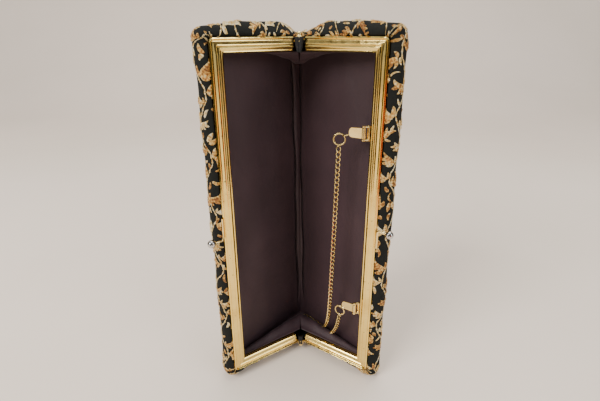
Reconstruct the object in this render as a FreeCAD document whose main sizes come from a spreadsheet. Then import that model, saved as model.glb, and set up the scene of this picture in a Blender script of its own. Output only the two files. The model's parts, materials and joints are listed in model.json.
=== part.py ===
"""Clutch purse with a hinged double frame, opened like a book and standing on one short end.

All lengths are in millimetres. Each rigid half is drawn in its own flat frame:
  u  runs from the hinge axis out to the long side of the metal frame,
  n  runs from the mouth plane back into the purse,
  z  is the height above the lower end of the metal frame.
The right half is then turned about the hinge axis, and the left half is its mirror image.
"""
import FreeCAD, Part

import math
import os

from FreeCAD import Placement, Rotation, Vector

doc = FreeCAD.newDocument("clutch_purse")
sheet = doc.addObject("Spreadsheet::Sheet", "dims")

DIMENSIONS = {
    # whole purse
    "half_angle": 56.0,        # each half is opened this far from the closed plane, in degrees
    "hinge_y": 0.25,          # hinge axis, measured from the middle of the purse
    "end_bulge": 8.0,          # padded cover beyond each end of the metal frame
    "side_reach": 62.0,        # hinge axis to the outside of the cover along the long side
    "panel_side_n": 14.0,      # depth of a half at its long side
    "panel_tilt": 14.0,        # slope of the back panel towards the spine, in degrees
    "parting": 2.6,            # half the soft strip left between the two halves
    # metal frame
    "frame_length": 225.0,
    "leg_reach": 56.0,
    "leg_start": 3.6,
    "band": 8.0,
    "frame_depth": 4.2,
    "face_gap": 0.7,
    "wall": 0.8,
    "corner_round": 3.0,
    "bead_groove": 1.8,
    "groove_depth": 0.35,
    "groove_inset": 3.1,
    # hinge
    "ear_thick": 1.0,
    "ear_round": 2.4,
    "ear_reach": 10.0,
    "ear_gap": 0.1,
    "rivet_shank": 1.1,
    "rivet_bore": 1.15,
    "rivet_head": 2.0,
    "rivet_tail": 1.7,
    "washer_thick": 0.7,
    # soft shell, as layers inwards from the outside
    "cover_thick": 1.0,
    "board_depth": 2.2,
    "board_thick": 1.2,
    "lining_depth": 3.6,
    "lining_thick": 0.6,
    "cover_mouth": 2.6,
    "lining_side": 48.2,
    "lining_end": 3.4,
    "frame_clear": 0.1,
    "strip_gap": 0.1,
    # clasp
    "ball_round": 2.65,
    "ball_reach": 65.2,
    "ball_right_z": 113.1,
    "ball_left_z": 107.6,
    "strip_beyond": 1.0,       # clasp strip past the ball's own arm, along the frame
    "strip_right": 12.0,
    "strip_left": 14.4,
    "arm_near": 1.0,
    "arm_thick": 1.2,
    "arm_wide": 2.2,
    # handle clips
    "clip_u": 44.6,
    "clip_upper_z": 173.0,
    "clip_lower_z": 51.0,
    "clip_half": 4.5,
    "tab_half": 3.0,
    "tab_long": 9.6,
    "tab_thick": 0.8,
    "knuckle": 1.05,
    "pin_round": 0.5,
    "pin_bore": 0.55,
    "bracket_near": 0.9,
    "bracket_deep": 3.1,
    "bracket_wall": 2.1,
    "bracket_lap": 0.5,        # how far the bracket's web runs on under its plate
    "clip_clear": 0.1,
    "neck_drop": 0.8,          # the tab's neck, below the middle of its clip
    "neck_upper_low": 2.6,
    "neck_upper_u": 30.6,
    "neck_lower_low": 3.0,
    "neck_lower_u": 32.0,
    "ring_mid": 3.5,
    "ring_wire": 0.55,
    "ring_upper_u": 28.8,
    "ring_upper_z": 167.6,
    "ring_upper_turn": 29.0,
    "ring_lower_u": 33.5,
    "ring_lower_z": 44.9,
    "ring_lower_turn": 0.0,
    "chain_round": 1.5,
}
for row, (alias, value) in enumerate(DIMENSIONS.items(), start=1):
    sheet.set(f"A{row}", alias)
    sheet.set(f"B{row}", str(value))
    sheet.setAlias(f"B{row}", alias)
doc.recompute()

FAR = 100.0                    # longer than any piece, for cutting tools and half spaces


def value(alias):
    """The number in the sheet's cell of that name."""
    return float(sheet.get(alias))


def bound(text):
    """An expression with each dimension's name turned into a reference to the sheet."""
    words = []
    word = ""
    for char in text + " ":
        if char.isalnum() or char == "_":
            word += char
            continue
        words.append(f"dims.{word}" if word in DIMENSIONS else word)
        words.append(char)
        word = ""
    return "".join(words).strip()


def bind(obj, **sizes):
    for name, text in sizes.items():
        obj.setExpression(name, bound(str(text)))
    return obj


def set_base(obj, x, y, z):
    for axis, text in zip("xyz", (x, y, z)):
        obj.setExpression(f".Placement.Base.{axis}", bound(str(text)))
    return obj


def box(name, u, n, z):
    """A box between two bounds on each of the three directions, each bound an expression."""
    obj = doc.addObject("Part::Box", name)
    bind(
        obj,
        Length=f"({u[1]}) - ({u[0]})",
        Width=f"({n[1]}) - ({n[0]})",
        Height=f"({z[1]}) - ({z[0]})",
    )
    return set_base(obj, u[0], n[0], z[0])


def rod(name, radius, u, n, z):
    """An upright cylinder between two heights."""
    obj = doc.addObject("Part::Cylinder", name)
    bind(obj, Radius=radius, Height=f"({z[1]}) - ({z[0]})")
    return set_base(obj, u, n, z[0])


def ball(name, radius, u, n, z, lowest=-90, highest=90):
    obj = doc.addObject("Part::Sphere", name)
    obj.Angle1 = lowest
    obj.Angle2 = highest
    bind(obj, Radius=radius)
    return set_base(obj, u, n, z)


def fuse(name, *pieces):
    obj = doc.addObject("Part::MultiFuse", name)
    obj.Shapes = list(pieces)
    return obj


def common(name, *pieces):
    obj = doc.addObject("Part::MultiCommon", name)
    obj.Shapes = list(pieces)
    return obj


def cut(name, base, *tools):
    """base less each tool. More than one tool is joined first."""
    obj = doc.addObject("Part::Cut", name)
    obj.Base = base
    obj.Tool = tools[0] if len(tools) == 1 else fuse(f"{name}_tools", *tools)
    return obj


SUBPARTS = []


def finish(label, obj):
    obj.Label = label
    SUBPARTS.append(obj)
    return obj


def stand(obj):
    """The drawn shape set down in the purse: on the hinge axis and above the padded end."""
    placed = doc.addObject("Part::Compound", f"{obj.Name}_placed")
    placed.Links = [obj]
    placed.Placement = Placement(Vector(), Rotation(Vector(0, 0, 1), 0))
    return set_base(placed, 0, "hinge_y", "end_bulge")


def turn_right(obj):
    """A piece drawn in u, n and z, stood on the right half."""
    placed = stand(obj)
    placed.setExpression(".Placement.Rotation.Angle", bound("half_angle - 90"))
    return placed


def on_right(label, obj):
    return finish(label, turn_right(obj))


def on_left(label, obj):
    """The same piece as it would stand on the right half, mirrored to the left one."""
    mirrored = doc.addObject("Part::Mirroring", f"{label}_mirror")
    mirrored.Source = turn_right(obj)
    mirrored.Normal = Vector(1, 0, 0)
    return finish(label, mirrored)


def on_hinge(label, obj):
    """A sub-part on the hinge axis, or one that crosses from one half to the other."""
    return finish(label, stand(obj))


def half_pair(name, obj):
    on_right(f"{name}_right", obj)
    on_left(f"{name}_left", obj)


# ---------------------------------------------------------------- metal frame


def u_ring(name, outer, inner, n):
    """A U-shaped bar in the frame's plane, between two insets from the frame's outside."""
    whole = box(
        f"{name}_whole",
        ("leg_start", f"leg_reach - ({outer})"),
        n,
        (outer, f"frame_length - ({outer})"),
    )
    hole = box(
        f"{name}_hole",
        ("leg_start - 1", f"leg_reach - ({inner})"),
        (f"{n[0]} - 1", f"{n[1]} + 1"),
        (inner, f"frame_length - ({inner})"),
    )
    return cut(name, whole, hole)


def frame_half():
    """A gold channel with two beads along its face, open at the back."""
    face = ("face_gap", "face_gap + frame_depth")
    block = box("frame_block", ("leg_start", "leg_reach"), face, (0, "frame_length"))
    doc.recompute()
    rounded = doc.addObject("Part::Fillet", "frame_rounded")
    rounded.Base = block
    outer_edges = [
        index
        for index, edge in enumerate(block.Shape.Edges, start=1)
        if abs(edge.CenterOfMass.x - value("leg_reach")) < 0.01
        and abs(edge.tangentAt(0).y) > 0.99
    ]
    radius = value("corner_round")
    rounded.Edges = [(index, radius, radius) for index in outer_edges]
    window = box(
        "frame_window",
        ("leg_start - 1", "leg_reach - band"),
        ("face_gap - 1", "face_gap + frame_depth + 1"),
        ("band", "frame_length - band"),
    )
    channel = u_ring(
        "frame_channel", "wall", "band - wall", ("face_gap + wall", "face_gap + frame_depth + 1")
    )
    open_ends = box(
        "frame_open_ends",
        ("leg_start - 1", "leg_start + wall"),
        ("face_gap + wall", "face_gap + frame_depth + 1"),
        ("wall", "frame_length - wall"),
    )
    groove = u_ring(
        "frame_groove",
        "groove_inset",
        "groove_inset + bead_groove",
        ("face_gap - 1", "face_gap + groove_depth"),
    )
    half_pair("frame", cut("frame_half", rounded, window, channel, open_ends, groove))


def packing():
    """The paper cord that wedges the cloth into the channel."""
    bar = u_ring(
        "packing_bar", "band / 2 - 0.9", "band / 2 + 0.9", ("face_gap + wall", "face_gap + wall + 1.8")
    )
    ends = box(
        "packing_ends",
        (0, "ear_reach + 1"),
        ("face_gap", "face_gap + frame_depth"),
        (0, "frame_length"),
    )
    half_pair("packing_cord", cut("packing", bar, ends))


# ---------------------------------------------------------------- hinge


def height(end, depth):
    """A height measured inwards from the top or the bottom end of the frame."""
    return f"frame_length - ({depth})" if end == "top" else f"{depth}"


def span(end, near, far):
    """Two heights in rising order, from depths measured inwards."""
    bounds = (height(end, near), height(end, far))
    return bounds if end == "bottom" else bounds[::-1]


def ear(name, end, near, far, root_near):
    """A hinge plate: a round eye on the axis, and a root inside the frame's leg."""
    eye = rod(f"{name}_eye", "ear_round", 0, 0, span(end, near, far))
    strip = box(
        f"{name}_strip",
        (0, "leg_start + 0.4"),
        ("face_gap + wall", "ear_round + face_gap + wall"),
        span(end, near, far),
    )
    root = box(
        f"{name}_root",
        ("leg_start + 0.4", "ear_reach"),
        ("face_gap + wall", "ear_round + face_gap + wall"),
        span(end, root_near, far),
    )
    bore = rod(f"{name}_bore", "rivet_bore", 0, 0, span(end, f"{near} - 1", f"{far} + 1"))
    return cut(name, fuse(f"{name}_body", eye, strip, root), bore)


def hinge(end):
    """One end's pair of plates, the rivet through them and the washer under its head."""
    first = "wall"
    second = "wall + ear_thick + ear_gap"
    right = ear(f"ear_right_{end}", end, first, f"{first} + ear_thick", first)
    on_right(f"hinge_plate_right_{end}", right)
    left = ear(f"ear_left_{end}", end, second, f"{second} + ear_thick", first)
    on_left(f"hinge_plate_left_{end}", left)

    washer_far = "wall"
    washer_near = "wall - washer_thick"
    disc = rod(f"washer_disc_{end}", "ear_round", 0, 0, span(end, washer_near, washer_far))
    hole = rod(f"washer_hole_{end}", "rivet_bore", 0, 0, span(end, "wall - 2", "wall + 1"))
    on_hinge(f"hinge_washer_{end}", cut(f"washer_{end}", disc, hole))

    tail_near = f"{second} + ear_thick + ear_gap"
    shank = rod(f"shank_{end}", "rivet_shank", 0, 0, span(end, washer_near, f"{tail_near} + 0.5"))
    collar = rod(
        f"head_collar_{end}", "rivet_head", 0, 0, span(end, f"{washer_near} - 0.6", washer_near)
    )
    dome = ball(
        f"head_dome_{end}",
        "rivet_head",
        0,
        0,
        height(end, f"{washer_near} - 0.6"),
        lowest=0 if end == "top" else -90,
        highest=90 if end == "top" else 0,
    )
    tail = rod(f"tail_{end}", "rivet_tail", 0, 0, span(end, tail_near, f"{tail_near} + 0.6"))
    tail_dome = ball(
        f"tail_dome_{end}",
        "rivet_tail",
        0,
        0,
        height(end, f"{tail_near} + 0.6"),
        lowest=-90 if end == "top" else 0,
        highest=0 if end == "top" else 90,
    )
    on_hinge(f"hinge_rivet_{end}", fuse(f"rivet_{end}", shank, collar, dome, tail, tail_dome))


# ---------------------------------------------------------------- soft shell


def wedge(name, side, depth, mouth, end, parting):
    """The space inside one half: behind the mouth plane, short of the long side, inside the back
    panel by depth, between the ends, and on its own side of the middle plane."""
    heights = (f"-({end})", f"frame_length + ({end})")
    front = box(f"{name}_front", (-FAR, side), (mouth, FAR), heights)

    under_panel = doc.addObject("Part::Box", f"{name}_under_panel")
    bind(under_panel, Length=2 * FAR, Width=FAR, Height=f"({heights[1]}) - ({heights[0]})")
    under_panel.Placement = Placement(Vector(), Rotation(Vector(0, 0, 1), 0))
    under_panel.setExpression(".Placement.Rotation.Angle", bound("-panel_tilt"))
    back = f"({FAR} + ({depth}))"
    set_base(
        under_panel,
        f"side_reach - 1.5 * {FAR} * cos(panel_tilt) - {back} * sin(panel_tilt)",
        f"panel_side_n + 1.5 * {FAR} * sin(panel_tilt) - {back} * cos(panel_tilt)",
        heights[0],
    )

    own_side = doc.addObject("Part::Box", f"{name}_own_side")
    bind(own_side, Length=2 * FAR, Width=2 * FAR, Height=f"({heights[1]}) - ({heights[0]})")
    own_side.Placement = Placement(Vector(), Rotation(Vector(0, 0, 1), 0))
    own_side.setExpression(".Placement.Rotation.Angle", bound("90 - half_angle"))
    set_base(
        own_side,
        f"({parting}) * sin(half_angle) + {FAR} * cos(half_angle)",
        f"({parting}) * cos(half_angle) - {FAR} * sin(half_angle)",
        heights[0],
    )
    return common(name, front, under_panel, own_side)


def soft_half():
    """The cover, wadding, stiffening board and lining of one half, nested without overlap."""
    outside = wedge("cover_outside", "side_reach", 0, "cover_mouth", "end_bulge", "parting")
    inside = wedge(
        "cover_inside",
        "side_reach - cover_thick",
        "cover_thick",
        "cover_mouth + cover_thick",
        "end_bulge - cover_thick",
        -FAR / 2,
    )
    frame_room = box(
        "frame_room",
        (-FAR, "leg_reach + frame_clear"),
        (-FAR / 2, "face_gap + frame_depth + frame_clear"),
        ("-frame_clear", "frame_length + frame_clear"),
    )
    half_pair("brocade_cover", cut("cover_half", outside, inside, frame_room))

    stuffing = wedge(
        "stuffing",
        "side_reach - cover_thick",
        "cover_thick",
        "cover_mouth + cover_thick",
        "end_bulge - cover_thick",
        "parting",
    )
    board_outer = wedge(
        "board_outer", "leg_reach", "board_depth", "band", "-1", "parting + 1"
    )
    board_inner = wedge(
        "board_inner", FAR, "board_depth + board_thick", -FAR / 2, "5", -FAR / 2
    )
    board = cut("board_half", board_outer, board_inner)
    hollow = wedge("hollow", "lining_side", "lining_depth", -FAR / 2, "-lining_end", -FAR / 2)
    half_pair("wadding", cut("wadding_half", stuffing, hollow, frame_room, board))
    half_pair("stiffener_board", board)

    lining_outer = wedge(
        "lining_outer",
        "lining_side",
        "lining_depth",
        "face_gap + frame_depth + frame_clear",
        "-lining_end",
        "parting",
    )
    lining_inner = wedge(
        "lining_inner",
        "lining_side - lining_thick",
        "lining_depth + lining_thick",
        -FAR / 2,
        "-lining_end - lining_thick",
        -FAR / 2,
    )
    half_pair("lining", cut("lining_half", lining_outer, lining_inner))


def spine_y(depth):
    """Where the back panel, depth inwards, reaches the soft strip at the middle plane."""
    swing = "(half_angle - panel_tilt)"
    corner_x = "(side_reach * sin(half_angle) + panel_side_n * cos(half_angle))"
    corner_y = "(panel_side_n * sin(half_angle) - side_reach * cos(half_angle))"
    inset = f"(({depth}) / sin{swing})"
    return f"({corner_y} + ({corner_x} - parting) / tan{swing} - {inset})"


def soft_strips():
    """The narrow strips of cover and lining that join the halves and fold as the purse shuts."""
    across = ("strip_gap - parting", "parting - strip_gap")
    tall = ("-end_bulge", "frame_length + end_bulge")
    cover_y = (spine_y("cover_thick + 0.6"), spine_y("0.2"))
    on_hinge("spine_cover", box("spine_cover_box", across, cover_y, tall))
    lining_y = (spine_y("lining_depth + lining_thick + 0.6"), spine_y("lining_depth"))
    lined = ("lining_end", "frame_length - lining_end")
    on_hinge("spine_lining", box("spine_lining_box", across, lining_y, lined))
    for end in ("top", "bottom"):
        cover = box(
            f"gusset_cover_box_{end}",
            across,
            ("ear_round + 0.6", f"{cover_y[0]} - strip_gap"),
            span(end, "-end_bulge", "cover_thick - end_bulge"),
        )
        on_hinge(f"gusset_cover_{end}", cover)
        lining = box(
            f"gusset_lining_box_{end}",
            across,
            ("band", f"{lining_y[0]} - strip_gap"),
            span(end, "lining_end", "lining_end + lining_thick"),
        )
        on_hinge(f"gusset_lining_{end}", lining)


# ---------------------------------------------------------------- clasp


def clasp(name, ball_z, strip):
    """A bent arm on the frame's outer wall, and the ball it carries past the padded cover."""
    deep = ("arm_near", "arm_near + arm_thick")
    base = box(f"{name}_strip", ("leg_reach", "leg_reach + arm_wide"), deep, strip)
    arm_half = "arm_thick / 2"
    bar = box(
        f"{name}_bar",
        ("leg_reach", "ball_reach"),
        deep,
        (f"{ball_z} - {arm_half}", f"{ball_z} + {arm_half}"),
    )
    arm = fuse(f"{name}_arm", base, bar)
    sphere = ball(f"{name}_sphere", "ball_round", "ball_reach", 0, ball_z)
    return arm, cut(f"{name}_ball", sphere, arm)


def clasps():
    right_strip = ("ball_right_z - strip_right", "ball_right_z + strip_beyond")
    arm, knob = clasp("clasp_r", "ball_right_z", right_strip)
    on_right("clasp_arm_right", arm)
    on_right("clasp_ball_right", knob)
    left_strip = ("ball_left_z - strip_beyond", "ball_left_z + strip_left")
    arm, knob = clasp("clasp_l", "ball_left_z", left_strip)
    on_left("clasp_arm_left", arm)
    on_left("clasp_ball_left", knob)


# ---------------------------------------------------------------- handle


def ring(name, wire, u, z, turn):
    """A round ring standing upright; turn is how far it faces away from the mouth plane."""
    obj = doc.addObject("Part::Torus", name)
    bind(obj, Radius1="ring_mid", Radius2=wire)
    upright = Rotation(Vector(1, 0, 0), 90)
    facing = Rotation(Vector(0, 0, 1), value(turn))
    obj.Placement = Placement(Vector(), facing.multiply(upright))
    return set_base(obj, u, 0, z)


def clip(place):
    """A bracket on the frame's inner wall, its pin, the tab that swings on it and the tab's ring."""
    name = f"{place}_clip"
    clip_z = f"clip_{place}_z"
    heights = (f"{clip_z} - clip_half", f"{clip_z} + clip_half")
    middle = (f"{clip_z} - tab_half", f"{clip_z} + tab_half")
    room = (f"{middle[0]} - clip_clear", f"{middle[1]} + clip_clear")
    inner = "leg_reach - band"
    plate_u = f"{inner} - bracket_wall"
    across = ("-bracket_deep", "bracket_deep")

    plate = box(
        f"{name}_plate", (plate_u, inner), ("bracket_near", "bracket_near + bracket_deep"), heights
    )
    web = box(
        f"{name}_web",
        ("clip_u", f"{plate_u} + bracket_lap"),
        (0, "bracket_near + bracket_lap"),
        heights,
    )
    barrel = rod(f"{name}_barrel", "knuckle", "clip_u", 0, heights)
    slot = box(f"{name}_slot", ("clip_u - bracket_wall", plate_u), across, room)
    slot_web = box(f"{name}_slot_web", ("clip_u", inner), ("-bracket_deep", "bracket_near"), room)
    bore = rod(f"{name}_bracket_bore", "pin_round", "clip_u", 0, heights)
    cast = fuse(f"{name}_cast", plate, web, barrel)
    on_right(f"{name}_bracket", cut(f"{name}_bracket_drawn", cast, slot, slot_web, bore))
    on_right(f"{name}_pin", rod(f"{name}_pin_rod", "pin_round", "clip_u", 0, heights))

    sheet_n = ("-tab_thick / 2", "tab_thick / 2")
    neck_z = (f"{clip_z} - neck_{place}_low", f"{clip_z} - neck_drop")
    ring_at = (f"ring_{place}_u", f"ring_{place}_z", f"ring_{place}_turn")
    leaf = box(f"{name}_leaf", ("clip_u - tab_long", "clip_u"), sheet_n, middle)
    neck = box(f"{name}_neck", (f"neck_{place}_u", "clip_u - tab_long"), sheet_n, neck_z)
    curl = rod(f"{name}_curl", "knuckle", "clip_u", 0, middle)
    tab_bore = rod(f"{name}_tab_bore", "pin_bore", "clip_u", 0, heights)
    ring_room = ring(f"{name}_ring_room", "ring_wire + clip_clear", *ring_at)
    body = fuse(f"{name}_tab_body", leaf, neck, curl)
    on_right(f"{name}_tab", cut(f"{name}_tab_drawn", body, tab_bore, ring_room))
    on_right(f"{name}_ring", ring(f"{name}_hoop", "ring_wire", *ring_at))


# The chain's route from the upper ring to the lower one, from the hinge axis and the frame's
# lower end: it hangs down, lies along the crease by the right panel, turns back and climbs.
CHAIN_ROUTE = [
    (23.7, -16.0, 162.9),
    (23.0, -15.2, 126.0),
    (22.2, -14.0, 88.0),
    (21.6, -11.0, 52.0),
    (21.0, -4.0, 24.0),
    (18.4, 6.6, 8.4),
    (12.4, 16.0, 6.0),
    (7.4, 22.6, 5.8),
    (2.4, 26.2, 5.8),
    (-2.8, 24.2, 5.8),
    (-2.8, 18.8, 5.8),
    (2.4, 15.6, 5.8),
    (8.6, 12.0, 5.8),
    (15.2, 6.6, 6.0),
    (22.2, -0.6, 8.0),
    (25.6, -8.6, 18.0),
    (27.2, -15.5, 30.0),
    (27.7, -18.6, 40.0),
]
ARC_SHARE = 0.45               # part of the shorter run that an arc takes up


def chain():
    """A plain tube along the route: straight runs joined by arcs tangent to both."""
    points = [Vector(*point) for point in CHAIN_ROUTE]
    edges = []
    radii = []
    start = points[0]
    for before, corner, after in zip(points, points[1:], points[2:]):
        back = before - corner
        onward = after - corner
        reach = ARC_SHARE * min(back.Length, onward.Length)
        half_turn = (math.pi - back.getAngle(onward)) / 2
        radii.append(reach / math.tan(half_turn))
        enter = corner + back.normalize() * reach
        leave = corner + onward.normalize() * reach
        inward = (back + onward).normalize()
        to_middle = radii[-1] * (1 / math.cos(half_turn) - 1)
        edges.append(Part.LineSegment(start, enter).toShape())
        edges.append(Part.Arc(enter, corner + inward * to_middle, leave).toShape())
        start = leave
    edges.append(Part.LineSegment(start, points[-1]).toShape())
    path = Part.Wire(edges)
    radius = value("chain_round")
    section = Part.Wire([Part.makeCircle(radius, points[0], points[1] - points[0])])
    tube = path.makePipeShell([section], True, False)
    obj = doc.addObject("Part::Feature", "chain_tube")
    obj.Shape = tube
    on_hinge("chain", obj)
    share = tube.Volume / (math.pi * radius ** 2 * path.Length)
    print("chain length", round(path.Length, 1), "tube volume / section x length", round(share, 4))
    print("chain arc radii", [round(r, 1) for r in radii])


def save():
    """Every object must have been made, and every sub-part must be a sound shape."""
    doc.recompute()
    failed = [o.Name for o in doc.Objects if "Invalid" in o.State or "Error" in o.State]
    if failed:
        raise RuntimeError(f"objects failed: {failed}")
    os.makedirs("parts", exist_ok=True)
    for obj in SUBPARTS:
        shape = obj.Shape
        if shape.isNull() or not shape.isValid() or not shape.Solids:
            raise RuntimeError(f"{obj.Label} has no sound solid")
        shape.exportStep(f"parts/{obj.Label}.step")
    whole = Part.makeCompound([obj.Shape for obj in SUBPARTS if obj.Label != "chain"]).BoundBox
    print("sub-parts", len(SUBPARTS), "box", whole)


frame_half()
packing()
for hinge_end in ("top", "bottom"):
    hinge(hinge_end)
soft_half()
soft_strips()
clasps()
for clip_place in ("upper", "lower"):
    clip(clip_place)
chain()
save()
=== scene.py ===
"""The looks of a brocade clutch purse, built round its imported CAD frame.

Each rigid half has its own flat frame, in millimetres: u runs from the hinge axis out to the long
side, n from the mouth plane back into the purse, and z up from the lower end of the metal frame.
"""

import json
import math
import random

import bmesh
import bpy
import numpy as np
from mathutils import Matrix, Vector, noise


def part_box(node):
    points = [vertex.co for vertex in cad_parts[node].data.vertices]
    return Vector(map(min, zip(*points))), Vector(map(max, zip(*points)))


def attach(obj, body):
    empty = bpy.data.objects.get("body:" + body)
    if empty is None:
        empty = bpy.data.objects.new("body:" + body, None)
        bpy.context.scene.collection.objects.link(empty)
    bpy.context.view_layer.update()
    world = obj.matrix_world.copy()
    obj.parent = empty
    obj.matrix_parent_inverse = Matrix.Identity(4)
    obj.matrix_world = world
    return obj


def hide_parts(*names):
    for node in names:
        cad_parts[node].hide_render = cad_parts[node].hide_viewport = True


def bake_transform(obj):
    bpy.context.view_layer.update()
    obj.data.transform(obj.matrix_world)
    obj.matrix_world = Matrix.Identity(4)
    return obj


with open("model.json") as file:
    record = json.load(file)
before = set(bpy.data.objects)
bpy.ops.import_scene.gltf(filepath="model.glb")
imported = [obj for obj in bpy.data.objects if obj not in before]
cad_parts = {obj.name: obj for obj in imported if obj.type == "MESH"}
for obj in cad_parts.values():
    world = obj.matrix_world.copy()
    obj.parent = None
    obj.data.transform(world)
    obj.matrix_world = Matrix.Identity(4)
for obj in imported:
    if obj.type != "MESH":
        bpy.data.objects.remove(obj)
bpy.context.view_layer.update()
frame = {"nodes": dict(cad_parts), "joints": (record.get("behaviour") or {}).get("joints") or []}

JOINTS = {joint["name"]: joint for joint in frame["joints"]}
HINGE = JOINTS["frame_hinge"]["pos_m"]
HALF_ANGLE = math.radians(JOINTS["frame_hinge"]["range_deg"][1] / 2)
SIN, COS = math.sin(HALF_ANGLE), math.cos(HALF_ANGLE)
MM = 0.001
FRAME_LOW, FRAME_HIGH = (corner.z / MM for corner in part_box("frame_right"))
LENGTH = FRAME_HIGH - FRAME_LOW
REACH = 56.0                   # hinge axis to the outside of the long side
LEG_START = 3.6
BAND = 8.0
CORNER = 3.0                   # the frame's rounded outer corner
HALVES = {"right": 1, "left": -1}


def rows(side, local):
    """Points in u, n and z as points in the row frame, in metres."""
    u, n, z = np.moveaxis(np.asarray(local, float), -1, 0)
    x = side * (u * SIN + n * COS) * MM
    y = (-u * COS + n * SIN) * MM + HINGE[1]
    return np.stack([x, y, (z + FRAME_LOW) * MM], axis=-1)


def smooth(value, low=0.0, high=1.0):
    share = np.clip((np.asarray(value, float) - low) / (high - low), 0, 1)
    return share * share * (3 - 2 * share)


# ---------------------------------------------------------------- meshes


class Build:
    """Collects grids of points into one mesh, with cloth coordinates and a tone at each point."""

    def __init__(self):
        self.points, self.faces, self.cloth, self.tones, self.slots = [], [], [], [], []

    def grid(self, points, cloth=None, tones=None, slot=0, closed=False, keep=None):
        points = np.asarray(points, float)
        count, width = points.shape[:2]
        first = len(self.points)
        self.points += [tuple(p) for p in points.reshape(-1, 3)]
        blank = np.zeros((count, width))
        cloth = np.stack([blank, blank], -1) if cloth is None else np.asarray(cloth, float)
        tones = blank if tones is None else np.asarray(tones, float)
        self.cloth += [tuple(c) for c in cloth.reshape(-1, 2)]
        self.tones += list(tones.reshape(-1))
        for i in range(count - 1):
            for j in range(width if closed else width - 1):
                k = (j + 1) % width
                cell = ((i, j), (i, k), (i + 1, k), (i + 1, j))
                if keep is not None and not all(keep[a][b] for a, b in cell):
                    continue
                self.faces.append([first + a * width + b for a, b in cell])
                self.slots.append(slot)
        return first

    def cap(self, first, count, slot=0):
        self.faces.append(list(range(first, first + count)))
        self.slots.append(slot)

    def make(self, name, materials, sharp=math.radians(40), weld=2e-6):
        mesh = bpy.data.meshes.new(name)
        mesh.from_pydata(self.points, [], self.faces)
        for material in materials:
            mesh.materials.append(material)
        mesh.polygons.foreach_set("material_index", self.slots)
        tone = mesh.attributes.new("tone", "FLOAT", "POINT")
        tone.data.foreach_set("value", np.array(self.tones, np.float32))
        layer = mesh.uv_layers.new(name="cloth")
        loops = np.zeros(len(mesh.loops), np.int32)
        mesh.loops.foreach_get("vertex_index", loops)
        layer.data.foreach_set("uv", np.array(self.cloth, np.float32)[loops].reshape(-1))
        work = bmesh.new()
        work.from_mesh(mesh)
        bmesh.ops.remove_doubles(work, verts=work.verts, dist=weld)
        bmesh.ops.dissolve_degenerate(work, edges=work.edges, dist=1e-7)
        loose = [vert for vert in work.verts if not vert.link_faces]
        bmesh.ops.delete(work, geom=loose, context="VERTS")
        bmesh.ops.recalc_face_normals(work, faces=work.faces)
        work.to_mesh(mesh)
        work.free()
        mesh.polygons.foreach_set("use_smooth", [True] * len(mesh.polygons))
        mesh.set_sharp_from_angle(angle=sharp)
        obj = bpy.data.objects.new(name, mesh)
        bpy.context.scene.collection.objects.link(obj)
        return obj


def apply_modifiers(obj):
    graph = bpy.context.evaluated_depsgraph_get()
    made = bpy.data.meshes.new_from_object(obj.evaluated_get(graph))
    obj.modifiers.clear()
    obj.data = made
    return obj


def thicken(obj, thickness):
    """A sheet given its real thickness, inwards."""
    solid = obj.modifiers.new("thickness", "SOLIDIFY")
    solid.thickness = thickness
    solid.offset = -1
    return apply_modifiers(obj)


def tube(build, line, radius, sides=10, slot=0, closed=False, flat=1.0, ends=True):
    """A round bar along a line of row-frame points; flat squeezes it across its side."""
    line = [Vector(p) for p in line]
    count = len(line)
    side = None
    rings = []
    for i, point in enumerate(line):
        ahead = line[(i + 1) % count] if closed or i + 1 < count else point
        behind = line[i - 1] if closed or i else point
        along = (ahead - behind).normalized()
        if side is None:
            side = along.orthogonal().normalized()
        side = (side - along * side.dot(along)).normalized()
        up = along.cross(side)
        r = radius[i] if hasattr(radius, "__len__") else radius
        angles = [math.tau * k / sides for k in range(sides)]
        rings.append([point + (side * math.cos(a) * flat + up * math.sin(a)) * r for a in angles])
    if closed:
        rings.append(rings[0])
    first = build.grid([[tuple(p) for p in ring] for ring in rings], closed=True, slot=slot)
    if ends and not closed:
        build.cap(first, sides, slot)
        build.cap(first + sides * (count - 1), sides, slot)


def lathe(build, centre, axis, outline, sides=28, slot=0):
    """A turned shape: outline holds (height along axis, radius) pairs, in metres."""
    axis = Vector(axis).normalized()
    side = axis.orthogonal().normalized()
    up = axis.cross(side)
    centre = Vector(centre)
    rings = []
    for high, radius in outline:
        angles = [math.tau * k / sides for k in range(sides)]
        rings.append(
            [
                tuple(centre + axis * high + (side * math.cos(a) + up * math.sin(a)) * radius)
                for a in angles
            ]
        )
    build.grid(rings, closed=True, slot=slot)


def plate(build, outline, thick, bevel=0.12, slot=0):
    """A flat plate: outline is a list of (a, b, c) functions' results at mid thickness.

    outline holds pairs (point, normal) in row-frame metres; the plate is thick metres through."""
    points = [Vector(p) for p, _ in outline]
    normal = Vector(outline[0][1]).normalized()
    middle = sum(points, Vector()) / len(points)
    edge = bevel * MM
    rings = []
    for high, inset in (
        (-thick / 2, 1.0),
        (-thick / 2, 0.0),
        (-thick / 2 + edge, -0.0),
        (thick / 2 - edge, -0.0),
        (thick / 2, 0.0),
        (thick / 2, 1.0),
    ):
        ring = []
        for point in points:
            inwards = (middle - point).normalized()
            shift = edge if abs(high) > thick / 2 - edge * 0.5 else 0.0
            if inset:
                ring.append(tuple(middle + normal * high))
            else:
                ring.append(tuple(point + inwards * shift + normal * high))
        rings.append(ring)
    build.grid(rings, closed=True, slot=slot)


# ---------------------------------------------------------------- materials


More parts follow.
